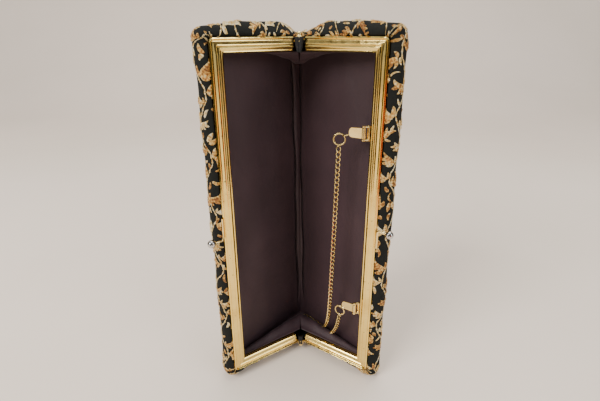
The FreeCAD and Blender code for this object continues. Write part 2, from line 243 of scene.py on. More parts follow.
class Finish:
    """A node material, and short ways to add to it."""

    def __init__(self, name, color, roughness, metallic=0.0, **more):
        self.material = bpy.data.materials.new(name)
        self.material.use_nodes = True
        self.tree = self.material.node_tree
        self.shader = self.tree.nodes["Principled BSDF"]
        self.set(self.shader, "Base Color", (*color, 1))
        self.set(self.shader, "Roughness", roughness)
        self.set(self.shader, "Metallic", metallic)
        for socket, value in more.items():
            self.set(self.shader, socket.replace("_", " "), value)
        self.where = self.tree.nodes.new("ShaderNodeTexCoord")
        self.last_bump = None

    def set(self, node, socket, value):
        node.inputs[socket].default_value = value

    def link(self, source, node, socket):
        self.tree.links.new(source, node.inputs[socket])

    def noise(self, scale, detail=3.0, coords="Object"):
        node = self.tree.nodes.new("ShaderNodeTexNoise")
        self.set(node, "Scale", scale)
        self.set(node, "Detail", detail)
        self.link(self.where.outputs[coords], node, "Vector")
        return node.outputs["Fac"]

    def bands(self, scale, axis="X", distortion=0.0, coords="UV"):
        node = self.tree.nodes.new("ShaderNodeTexWave")
        node.bands_direction = axis
        self.set(node, "Scale", scale)
        self.set(node, "Distortion", distortion)
        self.link(self.where.outputs[coords], node, "Vector")
        return node.outputs["Fac"]

    def maths(self, operation, first, second):
        node = self.tree.nodes.new("ShaderNodeMath")
        node.operation = operation
        for index, value in enumerate((first, second)):
            if isinstance(value, (int, float)):
                node.inputs[index].default_value = value
            else:
                self.tree.links.new(value, node.inputs[index])
        return node.outputs[0]

    def ramp(self, source, stops):
        node = self.tree.nodes.new("ShaderNodeValToRGB")
        ramp = node.color_ramp
        while len(ramp.elements) < len(stops):
            ramp.elements.new(0.5)
        for element, (position, color) in zip(ramp.elements, stops):
            element.position = position
            element.color = (*color, 1)
        self.link(source, node, "Fac")
        return node.outputs["Color"]

    def range(self, source, low, high, start=0.0, end=1.0):
        node = self.tree.nodes.new("ShaderNodeMapRange")
        for socket, value in zip(("From Min", "From Max", "To Min", "To Max"), (start, end, low, high)):
            self.set(node, socket, value)
        self.link(source, node, "Value")
        return node.outputs["Result"]

    def mix(self, share, first, second):
        node = self.tree.nodes.new("ShaderNodeMix")
        node.data_type = "RGBA"
        self.link(share, node, "Factor")
        for socket, color in ((6, first), (7, second)):
            if isinstance(color, tuple):
                node.inputs[socket].default_value = (*color, 1)
            else:
                self.tree.links.new(color, node.inputs[socket])
        return node.outputs[2]

    def attribute(self, name):
        node = self.tree.nodes.new("ShaderNodeAttribute")
        node.attribute_name = name
        return node.outputs["Fac"]

    def color(self, source):
        self.link(source, self.shader, "Base Color")

    def roughness(self, source):
        self.link(source, self.shader, "Roughness")

    def bump(self, height, strength, depth):
        """Adds a bump of that depth in metres, on top of those before it."""
        node = self.tree.nodes.new("ShaderNodeBump")
        self.set(node, "Strength", strength)
        self.set(node, "Distance", depth)
        self.link(height, node, "Height")
        if self.last_bump is not None:
            self.link(self.last_bump, node, "Normal")
        self.last_bump = node.outputs["Normal"]
        self.link(self.last_bump, self.shader, "Normal")


def gold(name, base, dark, rough_low, rough_high, spots=True, dents=True):
    """Polished plate with faint rubbing, fine scratches and a few tarnish spots."""
    made = Finish(name, base, rough_low, metallic=1.0)
    cloudy = made.noise(90, 4)
    tint = made.mix(made.range(cloudy, 0, 1, 0.35, 0.75), base, dark)
    if spots:
        speck = made.range(made.noise(650, 2), 0, 1, 0.70, 0.76)
        tint = made.mix(speck, tint, (0.10, 0.06, 0.02))
    made.color(tint)
    made.roughness(made.range(made.noise(300, 5), rough_low, rough_high, 0.3, 0.75))
    made.bump(made.noise(1400, 3), 0.12, 0.00008)
    if dents:
        made.bump(made.noise(60, 1), 0.25, 0.0006)
    return made.material


def brocade_ground():
    """Near-black cloth with a visible cross weave."""
    made = Finish("brocade_ground", (0.01, 0.011, 0.01), 0.85, Specular_IOR_Level=0.18)
    warp = made.bands(560, "X", 0.4)
    weft = made.bands(470, "Y", 0.4)
    weave = made.maths("MULTIPLY", warp, weft)
    made.color(
        made.ramp(
            weave, [(0.0, (0.005, 0.006, 0.005)), (0.45, (0.012, 0.013, 0.011)), (1.0, (0.030, 0.031, 0.027))]
        )
    )
    made.bump(weave, 0.8, 0.00022)
    made.bump(made.noise(420, 3), 0.3, 0.0002)
    return made.material


def brocade_thread():
    """Cream, gold and copper metallic thread laid side by side."""
    made = Finish("brocade_thread", (0.75, 0.55, 0.3), 0.42, metallic=0.45)
    ribs = made.bands(520, "X", 1.5)
    patchy = made.noise(620, 3)
    # the tone attribute holds each lobe's thread tone and the painted shade on its lower rib rows
    tone = made.maths("ADD", made.attribute("tone"), made.range(patchy, -0.34, 0.34, 0.3, 0.7))
    shade = made.ramp(
        tone,
        [
            (0.0, (0.22, 0.08, 0.02)),
            (0.28, (0.56, 0.25, 0.05)),
            (0.5, (0.82, 0.50, 0.13)),
            (0.75, (0.94, 0.74, 0.33)),
            (1.0, (0.97, 0.90, 0.66)),
        ],
    )
    made.color(made.mix(made.range(ribs, 0.0, 0.55, 0.5, 0.0), shade, (0.16, 0.07, 0.03)))
    made.roughness(made.range(patchy, 0.3, 0.55))
    made.bump(ribs, 0.9, 0.00028)
    made.bump(made.noise(1500, 2), 0.5, 0.00015)
    return made.material


def lining_cloth():
    """Dark aubergine faille with a faint cross rib."""
    made = Finish("lining_faille", (0.03, 0.018, 0.022), 0.6, Sheen_Weight=0.04, Sheen_Roughness=0.4)
    rib = made.bands(620, "Y", 0.6)
    patchy = made.noise(22, 4)
    tint = made.ramp(
        patchy, [(0.3, (0.033, 0.0155, 0.019)), (0.55, (0.044, 0.021, 0.026)), (0.8, (0.062, 0.032, 0.037))]
    )
    made.color(made.mix(made.range(rib, 0.0, 0.35, 0.4, 0.0), tint, (0.012, 0.008, 0.010)))
    made.bump(rib, 0.35, 0.00010)
    made.bump(made.noise(130, 3), 0.35, 0.0009)
    return made.material


def plain_fibre(name, color, dark, scale, depth):
    made = Finish(name, color, 0.9)
    fibres = made.noise(scale, 5)
    made.color(made.mix(fibres, dark, color))
    made.bump(fibres, 0.6, depth)
    return made.material


GOLD = gold("frame_gold", (0.98, 0.73, 0.23), (0.84, 0.59, 0.17), 0.08, 0.20)
CHAIN_GOLD = gold("chain_gold", (0.95, 0.76, 0.36), (0.80, 0.58, 0.22), 0.12, 0.24, spots=False)
CLIP_GOLD = gold("clip_gold", (0.94, 0.74, 0.34), (0.78, 0.57, 0.21), 0.12, 0.26)
SILVER = gold("ball_nickel", (0.64, 0.63, 0.60), (0.52, 0.50, 0.47), 0.08, 0.15, spots=False, dents=False)
GROUND = brocade_ground()
THREAD = brocade_thread()
LINING = lining_cloth()
WADDING = plain_fibre("cotton_wadding", (0.80, 0.78, 0.72), (0.60, 0.57, 0.50), 500, 0.0006)
BOARD = plain_fibre("buckram_board", (0.50, 0.45, 0.36), (0.36, 0.31, 0.24), 900, 0.0002)
PAPER = plain_fibre("paper_cord", (0.66, 0.55, 0.38), (0.45, 0.36, 0.24), 1200, 0.0002)
WEB = plain_fibre("black_web", (0.010, 0.009, 0.010), (0.005, 0.005, 0.005), 900, 0.0003)


# ---------------------------------------------------------------- camera, floor and light

CAMERA_PLACE = (0.0002, -0.2590, 0.2358)
CAMERA_PITCH = math.radians(67.65)
CAMERA_ROLL = math.radians(-0.28)
CAMERA_YAW = math.radians(0.04)
FOCAL_SHARE = 412 / 600        # focal length over the width of the image


def camera():
    data = bpy.data.cameras.new("camera")
    data.sensor_width = 36
    data.lens = data.sensor_width * FOCAL_SHARE
    data.clip_start = 0.01
    obj = bpy.data.objects.new("camera", data)
    obj.location = CAMERA_PLACE
    turn = (
        Matrix.Rotation(CAMERA_YAW, 3, "Z")
        @ Matrix.Rotation(CAMERA_PITCH, 3, "X")
        @ Matrix.Rotation(CAMERA_ROLL, 3, "Z")
    )
    obj.rotation_euler = turn.to_euler()
    bpy.context.scene.collection.objects.link(obj)
    bpy.context.scene.camera = obj


def backdrop():
    """A seamless floor that curves up into a wall behind the purse."""
    build = Build()
    width, front, bend, radius, top = 4.0, -3.0, 0.9, 0.7, 3.2
    curve = [(front, 0.0), (bend, 0.0)]
    steps = 16
    for i in range(1, steps + 1):
        angle = math.pi / 2 * i / steps
        curve.append((bend + radius * math.sin(angle), radius - radius * math.cos(angle)))
    curve.append((bend + radius, top))
    build.grid([[(-width, y, z), (width, y, z)] for y, z in curve])
    paper = Finish("backdrop_paper", (0.72, 0.66, 0.60), 0.9)
    paper.color(
        paper.ramp(paper.noise(2.2, 4), [(0.3, (0.755, 0.655, 0.55)), (0.7, (0.825, 0.72, 0.615))])
    )
    obj = build.make("backdrop", [paper.material])


def lamp(name, place, target, size, power, color=(1, 1, 1), depth=None):
    data = bpy.data.lights.new(name, "AREA")
    data.shape = "RECTANGLE"
    data.size = size
    data.size_y = depth or size
    data.energy = power
    data.color = color
    obj = bpy.data.objects.new(name, data)
    obj.location = place
    obj.rotation_euler = (Vector(target) - Vector(place)).to_track_quat("-Z", "Y").to_euler()
    bpy.context.scene.collection.objects.link(obj)


def flag(name, place, target, size, color, strength=0.0):
    """A card that shows only in reflections."""
    build = Build()
    half_w, half_h = size[0] / 2, size[1] / 2
    build.grid(
        [[(-half_w, -half_h, 0), (half_w, -half_h, 0)], [(-half_w, half_h, 0), (half_w, half_h, 0)]]
    )
    card = Finish(f"{name}_card", color, 0.9, Emission_Color=(*color, 1), Emission_Strength=strength)
    obj = build.make(name, [card.material])
    obj.location = place
    obj.rotation_euler = (Vector(target) - Vector(place)).to_track_quat("Z", "Y").to_euler()
    obj.visible_camera = False
    obj.visible_diffuse = False
    obj.visible_shadow = False


CARD_REACH = 0.42
CARD_HIGH = 0.62


def studio():
    world = bpy.data.worlds.new("studio")
    world.use_nodes = True
    world.node_tree.nodes["Background"].inputs["Color"].default_value = (0.93, 0.95, 1.0, 1)
    world.node_tree.nodes["Background"].inputs["Strength"].default_value = 0.60
    bpy.context.scene.world = world
    middle = (0, 0, 0.12)
    lamp("key", (-1.0, -1.0, 1.2), middle, 0.8, 34, (1.0, 0.97, 0.93))
    lamp("fill", (1.1, -0.9, 0.9), middle, 0.8, 8, (0.95, 0.97, 1.0))
    lamp("top", (0.1, 0.3, 1.7), middle, 0.9, 18, (1.0, 0.98, 0.95))
    dark = (0.025, 0.02, 0.012)
    for bearing, width in ((-26, 0.24), (-86, 0.13), (-106, 0.12), (26, 0.24), (86, 0.13), (106, 0.12)):
        angle = math.radians(bearing)
        place = (CARD_REACH * math.sin(angle), -CARD_REACH * math.cos(angle), CARD_HIGH / 2)
        flag(f"card_{bearing + 180}", place, (0, 0, CARD_HIGH / 2), (width, CARD_HIGH), dark)
    flag("card_front", (0, -0.62, 0.42), (0, 0, 0.42), (0.34, 0.30), dark)
    for name, across in (("card_high_left", -0.36), ("card_high_right", 0.36)):
        flag(name, (across, -0.22, 0.56), (0, 0, 0.56), (0.26, 0.22), dark)
    flag("card_red", (0.14, -0.21, 0.11), (0, 0, 0.11), (0.022, 0.16), (0.80, 0.12, 0.06), 0.9)


# ---------------------------------------------------------------- chain

# The chain's route, in mm from the hinge axis and the frame's lower end, close to its CAD tube's.
CHAIN_ROUTE = [
    (23.7, -16.0, 162.9),
    (23.0, -15.2, 126.0),
    (22.2, -14.0, 88.0),
    (21.5, -12.0, 50.0),
    (20.8, -6.0, 24.0),
    (18.4, 6.6, 8.4),
    (12.4, 16.0, 6.0),
    (7.4, 22.6, 5.8),
    (2.4, 26.2, 5.8),
    (-2.8, 24.2, 5.8),
    (-2.8, 18.8, 5.8),
    (2.4, 15.6, 5.8),
    (8.6, 12.0, 5.8),
    (15.2, 6.6, 6.0),
    (22.2, -0.6, 8.0),
    (25.6, -8.6, 18.0),
    (27.2, -15.5, 30.0),
    (27.7, -18.6, 40.0),
]
CHAIN_WIDE = 0.0031
LINK_PITCH = 0.0033
LINK_WIRE = 0.00042
LINK_TWIST = math.radians(52)
LINK_FACES = Vector((0.1, -0.8, 0.6))   # the way the flat of the links turns, out of the opening


def chain_line():
    """The route's smooth line, as evenly spaced points."""
    curve = bpy.data.curves.new("chain_route", "CURVE")
    curve.dimensions = "3D"
    curve.resolution_u = 24
    spline = curve.splines.new("NURBS")
    spline.points.add(len(CHAIN_ROUTE) - 1)
    for point, (x, y, z) in zip(spline.points, CHAIN_ROUTE):
        point.co = (x * MM + HINGE[0], y * MM + HINGE[1], (z + FRAME_LOW) * MM, 1)
    spline.order_u = 3
    spline.use_endpoint_u = True
    obj = bpy.data.objects.new("chain_route", curve)
    line = bpy.data.meshes.new_from_object(obj)
    points = np.array([vert.co for vert in line.vertices])
    bpy.data.objects.remove(obj)
    bpy.data.curves.remove(curve)
    bpy.data.meshes.remove(line)
    along = np.concatenate([[0], np.cumsum(np.linalg.norm(np.diff(points, axis=0), axis=1))])
    return points, along


def chain():
    """Twisted curb links, each through the next."""
    points, along = chain_line()
    length = along[-1]
    count = int(length / LINK_PITCH)
    build = Build()
    half_long = (length / count) / 2 + LINK_WIRE
    half_wide = CHAIN_WIDE / 2 - LINK_WIRE
    turns, sides = 18, 7
    for i in range(count):
        middle_at = (i + 0.5) * length / count
        place_at = lambda s: Vector([np.interp(s, along, points[:, k]) for k in range(3)])
        centre = place_at(middle_at)
        ahead = (place_at(middle_at + LINK_PITCH / 2) - place_at(middle_at - LINK_PITCH / 2)).normalized()
        across = (LINK_FACES - ahead * LINK_FACES.dot(ahead)).normalized()
        side = ahead.cross(across)
        ring = []
        for k in range(turns):
            angle = math.tau * k / turns
            run = math.cos(angle) * half_long
            off = math.copysign(abs(math.sin(angle)) ** 0.8, math.sin(angle)) * half_wide
            twist = LINK_TWIST * math.cos(angle)
            ring.append(
                centre + ahead * run + side * off * math.cos(twist) + across * off * math.sin(twist)
            )
        tube(build, ring, LINK_WIRE, sides=sides, closed=True)
    obj = build.make("drop_in_chain", [CHAIN_GOLD])
    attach(obj, "handle")
    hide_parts("chain")


# ---------------------------------------------------------------- metal frame

FACE = 0.7                     # mouth plane to the top of the beads
FRAME_BACK = 4.9
PLATE = 0.6                    # thickness of the pressed sheet
# (inset, depth) where the face is level: edge, thin bead, foot and head of the slant, groove,
# thick bead, groove and lip
FACE_PROFILE = [
    (0.0, 1.45), (0.8, FACE), (1.6, 1.75), (4.1, 0.95), (4.45, 1.3),
    (5.4, FACE), (7.0, 1.35), (7.5, 1.25), (BAND, 1.7),
]


def face_depth(inset):
    """How deep the frame's face lies at that inset: thin bead, slanted hollow, thicker bead and lip."""
    for (start, before), (end, after) in zip(FACE_PROFILE, FACE_PROFILE[1:]):
        if inset <= end:
            return before + (after - before) * float(smooth(inset, start, end))
    return FACE_PROFILE[-1][1]


def face_insets():
    """Insets across the face, even within each swell."""
    made = [0.0]
    for (start, _), (end, _) in zip(FACE_PROFILE, FACE_PROFILE[1:]):
        steps = max(3, round((end - start) * 4))
        made += [start + (end - start) * (k + 1) / steps for k in range(steps)]
    return made


def frame_outline():
    """The channel's closed section as (inset, depth) pairs."""
    insets = face_insets()
    front = [(inset, face_depth(inset)) for inset in insets]
    inner = [inset for inset in insets[::3] if PLATE < inset < BAND - PLATE]
    under = [(inset, face_depth(inset) + PLATE) for inset in reversed(inner)]
    return (
        [(0.0, FRAME_BACK), (0.0, 3.0)] + front + [(BAND, 3.2), (BAND, FRAME_BACK)]
        + [(BAND - PLATE, FRAME_BACK), (BAND - PLATE, 2.9)] + under + [(PLATE, 2.3), (PLATE, FRAME_BACK)]
    )


def rim(part, share, inset):
    """(u, z) at a share of one stretch of the U, inset mm inside the frame's outer edge."""
    fold = max(inset, CORNER)
    far, low, high = REACH - fold, fold, LENGTH - fold
    turn = max(CORNER - inset, 0)
    if part == "top":
        return LEG_START + (far - LEG_START) * share, LENGTH - inset
    if part == "corner_top":
        angle = math.pi / 2 * (1 - share)
        return far + turn * math.cos(angle), high + turn * math.sin(angle)
    if part == "side":
        return REACH - inset, high + (low - high) * share
    if part == "corner_bottom":
        angle = -math.pi / 2 * share
        return far + turn * math.cos(angle), low + turn * math.sin(angle)
    return far + (LEG_START - far) * share, inset


def stations(legs, corners, side):
    """Stretches and shares all round the U, each place once."""
    made = []
    for part, count in (
        ("top", legs), ("corner_top", corners), ("side", side), ("corner_bottom", corners), ("bottom", legs)
    ):
        made += [(part, k / count) for k in range(0 if not made else 1, count + 1)]
    return made


def metal_frames():
    outline = frame_outline()
    for name, side in HALVES.items():
        build = Build()
        rings = []
        for part, share in stations(14, 7, 44):
            local = []
            for inset, depth in outline:
                u, z = rim(part, share, inset)
                local.append((u, depth, z))
            rings.append(rows(side, local))
        first = build.grid(rings, closed=True)
        build.cap(first, len(outline))
        build.cap(first + len(outline) * (len(rings) - 1), len(outline))
        obj = build.make(f"metal_frame_{name}", [GOLD], sharp=math.radians(32))
        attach(obj, f"{name}_half")
        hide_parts(f"frame_{name}")


def paper_cords():
    """The twisted cord that wedges the cloth into each channel."""
    for name, side in HALVES.items():
        build = Build()
        path = [rim(part, share, BAND / 2) for part, share in stations(20, 4, 90)]
        for strand in range(2):
            line = []
            for i, (u, z) in enumerate(path):
                if u < LEG_START + BAND:
                    continue
                angle = 0.9 * i + math.pi * strand
                shift = 0.35 * math.cos(angle)
                line.append(tuple(rows(side, (u + shift, 3.9 + 0.3 * math.sin(angle), z + shift))))
            tube(build, line, 0.5 * MM, sides=8)
        obj = build.make(f"paper_cord_{name}", [PAPER])
        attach(obj, f"{name}_half")
        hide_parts(f"packing_cord_{name}")


# ---------------------------------------------------------------- padded cover

PANEL_SLOPE = math.tan(math.radians(14))
PANEL_RISE = 14.0 + 62.0 * PANEL_SLOPE
SPINE_LEAN = COS / SIN         # u of the middle plane, per mm of depth, with its sign turned
BACK_EDGE = REACH - CORNER
LEGS, CORNERS, SIDE = 40, 10, 96
Q_STEPS = 22
COVER = stations(LEGS, CORNERS, SIDE)
# (outset, depth) across the padded roll, from the back panel's edge round to inside the frame
ROLL = [
    (-3.0, 16.25), (0.6, 15.5), (4.0, 13.6), (6.1, 10.4), (6.5, 7.2),
    (5.6, 4.2), (3.4, 2.3), (1.2, 1.75), (0.25, 2.6), (0.05, 4.5),
]


def panel_at(share):
    """(u, n) on the back panel, from the middle plane (0) to its outer edge (1)."""
    share = np.asarray(share, float)
    away = 1 - share
    n = (PANEL_RISE - PANEL_SLOPE * BACK_EDGE * share) / (1 - PANEL_SLOPE * SPINE_LEAN * away)
    return BACK_EDGE * share - SPINE_LEAN * n * away, n


def spline_at(points, count):
    """Evenly spread points on a smooth curve through the given ones."""
    points = np.array(points, float)
    padded = np.vstack([2 * points[0] - points[1], points, 2 * points[-1] - points[-2]])
    made = []
    for k in range(count + 1):
        at = k / count * (len(points) - 1)
        i = min(int(at), len(points) - 2)
        t = at - i
        p0, p1, p2, p3 = padded[i:i + 4]
        squared, cubed = 2 * p0 - 5 * p1 + 4 * p2 - p3, 3 * p1 - p0 - 3 * p2 + p3
        made.append(0.5 * (2 * p1 + (p2 - p0) * t + squared * t * t + cubed * t ** 3))
    return np.array(made)


# each side's padding: how full the long side is, where its ends swell up from the hinge, and
# how full its corners are
PADDING = {1: (1.0, 0.40, 1.0), -1: (0.74, 0.25, 0.86)}
ROLL_OUT = 6.5


def leg_fullness(share, padding):
    """How far the padding stands out along a leg, from the hinge (0) to the corner (1)."""
    _, swell, corner_full = padding
    corner = 7.8 - ROLL_OUT * corner_full
    return 1.5 + 6.3 * float(smooth(share, -0.02, swell)) - corner * float(smooth(share, 0.65, 1.0))


def roll_at(part, share, padding):
    """Points in u, n and z across the padded roll at one place round the U."""
    curve = spline_at(ROLL, Q_STEPS)
    outset, depth = curve[:, 0].copy(), curve[:, 1].copy()
    front = np.linspace(0, 1, Q_STEPS + 1)
    if part in ("top", "bottom"):
        near = share if part == "top" else 1 - share
        full = leg_fullness(near, padding)
        _, back_n = panel_at(near)
        depth = 1.75 + (depth - 1.75) * (back_n - 1.75) / (16.25 - 1.75)
        swell = np.where(outset > 0, outset * full / ROLL_OUT, outset)
        if part == "top":
            outset = swell * (1 - 0.35 * (1 - smooth(near, 0.45, 0.95)) * smooth(front, 0.45, 0.9))
        else:
            flat = 1 - smooth(near, 0.62, 0.98)
            outset = swell * (1 - 0.45 * flat) * (1 - 0.85 * flat * smooth(front, 0.35, 0.75))
        u = BACK_EDGE * near - SPINE_LEAN * depth * (1 - near)
        z = LENGTH + outset if part == "top" else -outset
        z = np.broadcast_to(z, u.shape)
    else:
        square = 1.0
        if part.startswith("corner"):
            square = 1 + 0.12 * math.sin(math.pi * share) ** 2
            full = padding[2]
        else:
            end = 1 - smooth(share, 0, 0.14) + smooth(share, 0.86, 1.0)
            full = padding[0] + (padding[2] - padding[0]) * end
        outset = np.where(outset > 0, outset * full, outset)
        grown = (outset + CORNER) * square - CORNER
        places = [rim(part, share, -o) for o in grown]
        u = np.array([p[0] for p in places])
        z = np.array([p[1] for p in places])
    return np.stack([u, depth, z], -1), front


def cover_table(padding):
    """The cover's roll as a table of points by place round the U and step across, with puckers."""
    table = []
    travelled = 0.0
    before = None
    for part, share in COVER:
        points, front = roll_at(part, share, padding)
        middle = points[Q_STEPS // 2]
        if before is not None:
            travelled += float(np.linalg.norm(middle - before))
        before = middle
        along = travelled
        edge = smooth(front, 0.35, 0.75) * (1 - smooth(front, 0.86, 0.98))
        pucker = 0.28 * math.sin(along * 0.75 + 1.7 * math.sin(along * 0.13))
        wave = pucker + 0.22 * math.sin(along * 0.31 + 1)
        belly = smooth(front, 0.02, 0.3) * (1 - smooth(front, 0.8, 1.0))
        slow = noise.noise(Vector((along * 0.045, 3.1, 0.7))) * 0.9
        table.append(points + (edge * wave + belly * slow)[:, None] * pushes(part, points))
    return np.array(table)


def pushes(part, points):
    """Outward directions across the roll, as a rough outward normal in u, n and z."""
    middle_n = (points[0, 1] + points[-1, 1]) / 2
    core = points.copy()
    core[:, 1] = middle_n
    if part in ("top", "bottom"):
        core[:, 2] = LENGTH - 3 if part == "top" else 3
    else:
        core[:, 0] = BACK_EDGE
        core[:, 2] = np.clip(points[:, 2], CORNER, LENGTH - CORNER)
    away = points - core
    return away / np.maximum(np.linalg.norm(away, axis=1), 0.5)[:, None]


def runs_across(table):
    steps = np.linalg.norm(np.diff(table, axis=1), axis=2)
    return np.concatenate([np.zeros((len(table), 1)), np.cumsum(steps, axis=1)], axis=1)


TABLES = {side: cover_table(padding) for side, padding in PADDING.items()}
RUNS = {side: runs_across(table) for side, table in TABLES.items()}
SHARES = np.linspace(0, 1, 200)
PANEL_RUN = (panel_at(SHARES)[0] - panel_at(0)[0]) / math.cos(math.radians(14))
PANEL_WIDE = float(PANEL_RUN[-1])


def crown(cx, cz):
    """How far the back panel swells past flat."""
    side = np.clip(cx / PANEL_WIDE, 0, 1)
    end = np.clip((cz - CORNER) / (LENGTH - 2 * CORNER), 0, 1)
    return 1.6 * np.sin(math.pi * side) ** 0.7 * np.sin(math.pi * end) ** 0.5


def skin(side, cx, cz):
    """Cloth coordinates, in mm, as points on one half in u, n and z, and how far past the edge.

    cx runs from the spine across the panel, cz up the purse; past the panel's edge both carry on
    round the padded roll. The last value is the distance left to the cloth's tucked-in edge."""
    cx, cz = np.asarray(cx, float), np.asarray(cz, float)
    in_x, in_z = np.clip(cx, 0, PANEL_WIDE), np.clip(cz, CORNER, LENGTH - CORNER)
    past_x, past_z = cx - in_x, cz - in_z
    beyond = np.hypot(past_x, past_z)
    share = np.interp(in_x, PANEL_RUN, SHARES)
    turn = np.arctan2(np.abs(past_z), np.maximum(past_x, 1e-9)) / (math.pi / 2)
    upper = past_z > 0
    corner_edge = in_x >= PANEL_WIDE - 1e-6
    ends = past_z != 0
    table, runs = TABLES[side], RUNS[side]
    last = len(table) - 1
    leg_at = share * LEGS
    corner_at = LEGS + CORNERS * (1 - turn)
    side_at = LEGS + CORNERS + SIDE * (LENGTH - CORNER - in_z) / (LENGTH - 2 * CORNER)
    at = np.where(ends & ~corner_edge, leg_at, np.where(ends, corner_at, side_at))
    at = np.where(ends & ~upper, last - at, at)
    i = np.clip(at.astype(int), 0, last - 1)
    t = (at - i)[..., None]
    run = runs[i, -1] * (1 - t[..., 0]) + runs[i + 1, -1] * t[..., 0]
    across = np.clip(beyond / run, 0, 1)
    steps = runs[LEGS + CORNERS + SIDE // 2]
    q = np.interp(across, steps / steps[-1], np.arange(Q_STEPS + 1))
    j = np.clip(q.astype(int), 0, Q_STEPS - 1)
    r = (q - j)[..., None]
    low = table[i, j] * (1 - r) + table[i, j + 1] * r
    high = table[i + 1, j] * (1 - r) + table[i + 1, j + 1] * r
    rolled = low * (1 - t) + high * t
    panel_u, panel_n = panel_at(share)
    bulge = crown(cx, cz)
    flat = np.stack([panel_u + bulge * 0.24, panel_n + bulge * 0.97, in_z], -1)
    return np.where((beyond > 0)[..., None], rolled, flat), run - beyond


def around_spine(points):
    """Rounds the ridge at the back, where the two halves' cloth runs together."""
    points = np.array(points, float)
    near = np.clip(1 - np.abs(points[..., 0]) / 0.006, 0, 1) ** 2
    back = np.clip((points[..., 1] - 0.012) / 0.02, 0, 1)
    points[..., 1] -= 0.0030 * near * back
    points[..., 2] = np.maximum(points[..., 2], 0.00005)
    return points


def cloth_at(side, cx, cz):
    """The same in the row frame. Cloth past the spine runs on over the other half."""
    local, left = skin(side, np.abs(cx), cz)
    points = rows(1, local)
    points[..., 0] *= side * np.where(np.asarray(cx) < 0, -1, 1)
    return around_spine(points), left


def outward(side, cx, cz, step):
    """Points on the cloth, the distance left to its edge, and its outward directions."""
    points, left = cloth_at(side, cx, cz)
    ahead, _ = cloth_at(side, cx + step, cz)
    above, _ = cloth_at(side, cx, cz + step)
    normal = np.cross(above - points, ahead - points) * side
    normal /= np.maximum(np.linalg.norm(normal, axis=-1), 1e-12)[..., None]
    return points, left, normal


def join_weights(obj):
    """Bakes the object's transform into its mesh; the angle round the hinge is worked out but not used."""
    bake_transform(obj)
    co = np.zeros(len(obj.data.vertices) * 3)
    obj.data.vertices.foreach_get("co", co)
    co = co.reshape(-1, 3)
    angle = np.degrees(np.arctan2(co[:, 1] - HINGE[1], co[:, 0]))
    angle = np.where(angle < -90, angle + 360, angle)


def cover():
    """The brocade, one cloth over both halves and the spine."""
    build = Build()
    for side in HALVES.values():
        run = RUNS[side]
        points = around_spine(rows(side, TABLES[side]))
        cloth = np.stack([PANEL_WIDE + run, np.arange(len(run))[:, None] * 2.4 + 0 * run], -1) * MM
        build.grid(points, cloth)
        shares = np.array([share for part, share in COVER if part == "top"])
        cx = np.interp(shares, SHARES, PANEL_RUN)
        cz = np.array([CORNER + (LENGTH - 2 * CORNER) * (1 - share) for share in np.linspace(0, 1, SIDE + 1)])
        grid_x, grid_z = np.meshgrid(cx, cz)
        points, _ = cloth_at(side, grid_x, grid_z)
        build.grid(points, np.stack([grid_x, grid_z], -1) * MM)
    obj = build.make("brocade_cover", [GROUND], sharp=math.radians(80), weld=4e-5)
    thicken(obj, 0.0008)
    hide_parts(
        "brocade_cover_right", "brocade_cover_left", "spine_cover",
        "gusset_cover_top", "gusset_cover_bottom",
    )
    join_weights(obj)


# ---------------------------------------------------------------- woven leaves


GAP = 0.26                     # dark cloth kept clear round each motif, in mm
PAST_PANEL = 26                # how far past the panel's long side the motifs go
PAST_ENDS = 40                 # and past its two ends
VINE_GAP, VINE_WAVE, VINE_SWAY = 17.5, 36.0, 4.2


